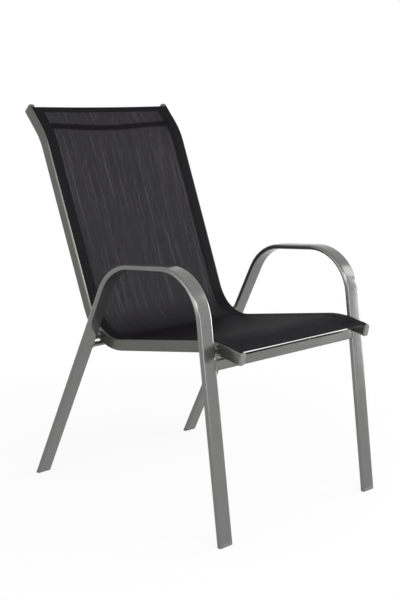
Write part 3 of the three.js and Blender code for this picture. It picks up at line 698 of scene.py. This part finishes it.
def weave_group():
    """Coated mesh cloth: two sets of round threads that pass over and under each other. Light passes
    where four threads meet: the gap is the square of the product of the two distances from the threads'
    middles, each as a share of its largest. Along some threads the weave is more open and their coating
    lighter, which shows as long fine streaks. In the seat the gaps let half as much through as in the
    back, as painted shade that darkens the seat. The colour is darker in the valleys of the weave and
    lighter on its crowns, as painted shade and painted light."""
    group, n, given, result = new_group(
        "woven_mesh",
        [("Across", FLOAT, 0.0), ("Along", FLOAT, 0.0), ("Pitch", FLOAT, MESH_PITCH_MM),
         ("Openness", FLOAT, 1.0), ("Thread", COLOUR, (0.03, 0.03, 0.03, 1)),
         ("Light Thread", COLOUR, (0.06, 0.06, 0.06, 1)), ("Streaks", FLOAT, 0.5)],
        [("Colour", COLOUR), ("Cover", FLOAT), ("Height", FLOAT), ("Roughness", FLOAT)],
    )
    across, along = given["Across"], given["Along"]

    def streak_noise(scales, **values):
        """Noise at the UV times one scale across and a smaller one along, which draws it out."""
        place = n.add("ShaderNodeCombineXYZ", i0=n.maths("MULTIPLY", across, scales[0]),
                      i1=n.maths("MULTIPLY", along, scales[1]))
        return n.add("ShaderNodeTexNoise", Vector=place, Scale=1.0, **values)

    fine = n.remap(streak_noise(FINE_STREAKS, Detail=1.0, Roughness=0.6), *FINE_STREAK_NOISE)
    wide = n.centred(streak_noise(WIDE_STREAKS, Detail=2.0), WIDE_STREAK_STRENGTH)
    streaks = n.maths("MULTIPLY", n.maths("ADD", fine, wide), given["Streaks"])
    share = n.add("ShaderNodeClamp", Value=streaks)

    per = n.maths("DIVIDE", 1000.0, given["Pitch"])
    u, v = n.maths("MULTIPLY", across, per), n.maths("MULTIPLY", along, per)
    offset_u = n.maths("ABSOLUTE", n.maths("SUBTRACT", n.maths("FRACT", u), 0.5))
    offset_v = n.maths("ABSOLUTE", n.maths("SUBTRACT", n.maths("FRACT", v), 0.5))
    meeting = n.maths("MULTIPLY", n.maths("MULTIPLY", offset_u, offset_v), 4.0)
    gap = n.maths("POWER", meeting, 2.0)
    by_streak = n.remap(share, 0.0, 1.0, DARK_THREAD_OPENNESS, 1.0)
    # painted shade: the seat's gaps open half as far as the back's
    painted_seat_shade = n.remap(along, SEAT_END_RUN, BACK_START_RUN, SEAT_PAINTED_SHADE_OPENNESS, 1.0)
    opened = n.maths("MULTIPLY", n.maths("MULTIPLY", given["Openness"], by_streak), painted_seat_shade)

    cell = n.maths("ADD", n.maths("FLOOR", u), n.maths("FLOOR", v))
    over = n.maths("FLOORED_MODULO", cell, 2.0)
    crown_u = n.maths("COSINE", n.maths("MULTIPLY", offset_u, THREAD_ROUNDING))
    crown_v = n.maths("COSINE", n.maths("MULTIPLY", offset_v, THREAD_ROUNDING))
    high = n.add("ShaderNodeMix", i0=over, i2=crown_u, i3=crown_v)
    toned = n.blend(share, given["Thread"], given["Light Thread"])
    # the colour follows the thread's height: painted shade in the valleys, painted light on the crowns
    n.feed(result["Colour"], n.scaled(toned, n.remap(high, 0.0, 1.0, VALLEY_PAINTED_SHADE, CROWN_PAINTED_LIGHT)))
    n.feed(result["Cover"], n.maths("SUBTRACT", 1.0, n.maths("MULTIPLY", gap, opened)))
    n.feed(result["Height"], high)
    n.feed(result["Roughness"], n.remap(high, 0.0, 1.0, VALLEY_ROUGHNESS, CROWN_ROUGHNESS))
    return group


GRAIN = grain_group()
WEAVE = weave_group()


def new_material(name):
    """A material with its Principled shader, and the builder for its other nodes."""
    material = bpy.data.materials.new(name)
    material.use_nodes = True
    return material, Nodes(material.node_tree), material.node_tree.nodes["Principled BSDF"].inputs


def dress(n, shader, made, bump, depth):
    """Feeds a group's colour, roughness and height, as a bump, to the Principled shader."""
    n.feed(shader["Base Color"], made["Colour"])
    n.feed(shader["Roughness"], made["Roughness"])
    n.feed(shader["Normal"], n.add("ShaderNodeBump", Height=made["Height"], Strength=bump, Distance=depth))


def grained(name, base, grain_size, grain_depth, cloud_depth, roughness, bump, scuffs=0.0, metallic=0.0,
            specular=0.5):
    """A satin paint, plate, plastic or thread: the fine grain's colour, roughness and bump on plain
    shader values. The grain's size is in millimetres."""
    material, n, shader = new_material(name)
    made = n.group(GRAIN, {
        "Place": n.add("ShaderNodeTexCoord", output=3), "Colour": base, "Grain Size": grain_size,
        "Grain Depth": grain_depth, "Cloud Depth": cloud_depth, "Roughness": roughness, "Scuffs": scuffs,
    })
    dress(n, shader, made, bump, depth=0.2 * MM)
    shader["Metallic"].default_value = metallic
    shader["Specular IOR Level"].default_value = specular
    return material


def woven(name, thread, light_thread, openness, streaks):
    """The coated mesh, with open gaps in a single layer and none where it is doubled."""
    material, n, shader = new_material(name)
    weave_map = n.add("ShaderNodeUVMap", set_uv_map="weave")
    made = n.group(WEAVE, {
        "Across": n.add("ShaderNodeSeparateXYZ", output=0, i0=weave_map),
        "Along": n.add("ShaderNodeSeparateXYZ", output=1, i0=weave_map),
        "Pitch": MESH_PITCH_MM, "Openness": openness, "Thread": thread, "Light Thread": light_thread,
        "Streaks": streaks,
    })
    dress(n, shader, made, bump=0.35, depth=0.25 * MM)
    if openness > 0:
        n.feed(shader["Alpha"], made["Cover"])
    shader["Specular IOR Level"].default_value = 0.02
    return material


satin_coat = dict(grain_size=0.7, grain_depth=0.22, cloud_depth=0.08, roughness=0.2, bump=0.06,
                  metallic=0.8)
zinc_plate = dict(grain_size=0.6, grain_depth=0.3, cloud_depth=0.2, bump=0.1, metallic=0.9)

coated_frame = grained("silver_grey_powder_coat", colour(113, 113, 112), scuffs=0.5, **satin_coat)
coated_rail = grained("silver_grey_rail_coat", colour(91, 91, 87), **satin_coat)
weld_metal = grained("coated_weld", colour(106, 105, 101), grain_size=0.9, grain_depth=0.3,
                     cloud_depth=0.1, roughness=0.45, bump=0.3, metallic=0.8)
bolt_steel = grained("zinc_bolt", colour(176, 178, 180), roughness=0.32, **zinc_plate)
insert_steel = grained("yellow_zinc_insert", colour(190, 178, 130), roughness=0.35, **zinc_plate)
cap_plastic = grained("speckled_cap_plastic", colour(104, 105, 103), grain_size=1.6, grain_depth=0.75,
                      cloud_depth=0.1, roughness=0.5, bump=0.35)
foot_plastic = grained("foot_plastic", colour(97, 96, 94), grain_size=1.2, grain_depth=0.3,
                       cloud_depth=0.08, roughness=0.55, bump=0.25, scuffs=0.8)
spline_plastic = grained("spline_plastic", colour(30, 30, 32), grain_size=1.0, grain_depth=0.2,
                         cloud_depth=0.1, roughness=0.5, bump=0.1)
stitch_thread = grained("stitch_thread", colour(27, 27, 29), grain_size=0.5, grain_depth=0.5,
                        cloud_depth=0.1, roughness=0.7, bump=0.4, specular=0.1)
mesh_cloth = woven("open_mesh_cloth", colour(20, 18, 21), colour(31, 28, 33), openness=1.0, streaks=1.0)
band_cloth = woven("doubled_mesh_cloth", colour(25, 24, 26), colour(33, 31, 35), openness=0.0, streaks=0.3)

FINISHES = {
    "frame_coating": coated_frame,
    "rail_coating": coated_rail,
    "foot_plastic": foot_plastic,
    "cap_plastic": cap_plastic,
    "bolt_steel": bolt_steel,
    "insert_steel": insert_steel,
    "spline_plastic": spline_plastic,
    "sling_mesh": mesh_cloth,
}
slots = {row["node"]: row["material_slot"] for row in frame["record"]["subparts"]}


def paint(piece, material):
    """Gives a piece one material."""
    if not piece.material_slots:
        piece.data.materials.append(material)
    for place in piece.material_slots:
        place.material = material


for name, node in nodes.items():
    paint(node, FINISHES[slots[name]])
    shade_bends(node)

paint(mesh_panel, mesh_cloth)
for piece in (*bands, *hems):
    paint(piece, band_cloth)
for piece in stitches:
    paint(piece, stitch_thread)
for piece in welds:
    paint(piece, weld_metal)

# what rides, and what stands for what
for piece in (mesh_panel, *bands, *hems, *stitches):
    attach(piece, "root")
for piece in welds:
    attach(piece, "root")
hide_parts("sling")

# floor, backdrop and light
FLOOR_HALF = 9.0
SHADOW_FADE = (0.4, 1.3)
SHADOW_SHARE = 0.1
ROOM_LEVEL = 0.35
CHAIR_MIDDLE = Vector((0, 0, 0.5))
LAMP_DISTANCE = 3.0


def seen_rays(n):
    """One for the rays that show a backdrop as white, to the camera or in a reflection, and else zero."""
    rays = n.tree.nodes.new("ShaderNodeLightPath")
    seen = n.maths("MAXIMUM", rays.outputs["Is Camera Ray"], rays.outputs["Is Glossy Ray"])
    return n.maths("MAXIMUM", seen, rays.outputs["Is Transmission Ray"])


def make_floor():
    """A pale floor that shows as white and keeps a share of the chair's shadow. The share fades out with
    the distance from the chair, so that the floor runs into the white behind it without an edge."""
    verts = FLOOR_HALF * np.array([[-1, -1, 0], [1, -1, 0], [1, 1, 0], [-1, 1, 0]])
    floor = new_piece("floor", verts, np.array([[0, 1, 2, 3]]), smooth=False, closed=False)
    material = bpy.data.materials.new("pale_floor")
    material.use_nodes = True
    material.node_tree.nodes.clear()
    n = Nodes(material.node_tree)
    place = n.add("ShaderNodeTexCoord", output=3)
    distance = n.add("ShaderNodeVectorMath", output=1, set_operation="LENGTH", i0=place)
    whiteness = n.remap(distance, *SHADOW_FADE, 1 - SHADOW_SHARE, 1.0)
    share = n.maths("MULTIPLY", seen_rays(n), whiteness)
    diffuse = n.add("ShaderNodeBsdfDiffuse", Color=(0.9, 0.9, 0.9, 1))
    glow = n.add("ShaderNodeEmission", Strength=1.0)
    mixed = n.add("ShaderNodeMixShader", i0=share, i1=diffuse, i2=glow)
    n.add("ShaderNodeOutputMaterial", output=None, Surface=mixed)
    paint(floor, material)


def light_world(level):
    """A white room: full white where it is seen or mirrored, and a soft even level as light."""
    world = bpy.data.worlds.new("white_room")
    bpy.context.scene.world = world
    world.use_nodes = True
    n = Nodes(world.node_tree)
    background = world.node_tree.nodes["Background"]
    background.inputs["Color"].default_value = (1, 1, 1, 1)
    n.feed(background.inputs["Strength"], n.remap(seen_rays(n), 0.0, 1.0, level, 1.0))


def soft_lamp(name, azimuth, height, wide, high, power):
    """A studio lamp that faces the chair's middle. Its azimuth runs from the chair's front towards the
    sitter's left and its height is an angle above the chair's middle, both in degrees."""
    azimuth, height = math.radians(azimuth), math.radians(height)
    level = math.cos(height)
    towards = Vector((math.sin(azimuth) * level, -math.cos(azimuth) * level, math.sin(height)))
    data = bpy.data.lights.new(name, "AREA")
    data.shape = "RECTANGLE"
    data.size = wide
    data.size_y = high
    data.energy = power
    aim(add_to_scene(name, data), CHAIR_MIDDLE + LAMP_DISTANCE * towards, -towards)


make_floor()
light_world(ROOM_LEVEL)
soft_lamp("window", azimuth=-45, height=25, wide=3.4, high=1.3, power=40)
soft_lamp("rail_shine", azimuth=-95, height=9, wide=1.6, high=0.5, power=8)
soft_lamp("right_low", azimuth=-110, height=5, wide=1.3, high=1.3, power=12)
soft_lamp("front", azimuth=2, height=32, wide=1.8, high=0.7, power=26)
soft_lamp("front_low", azimuth=12, height=5, wide=1.3, high=1.3, power=16)
soft_lamp("left_low", azimuth=66, height=4, wide=1.3, high=1.3, power=70)
soft_lamp("bend_shine", azimuth=60, height=27, wide=0.9, high=0.7, power=6)

bpy.context.scene.view_settings.view_transform = "Standard"
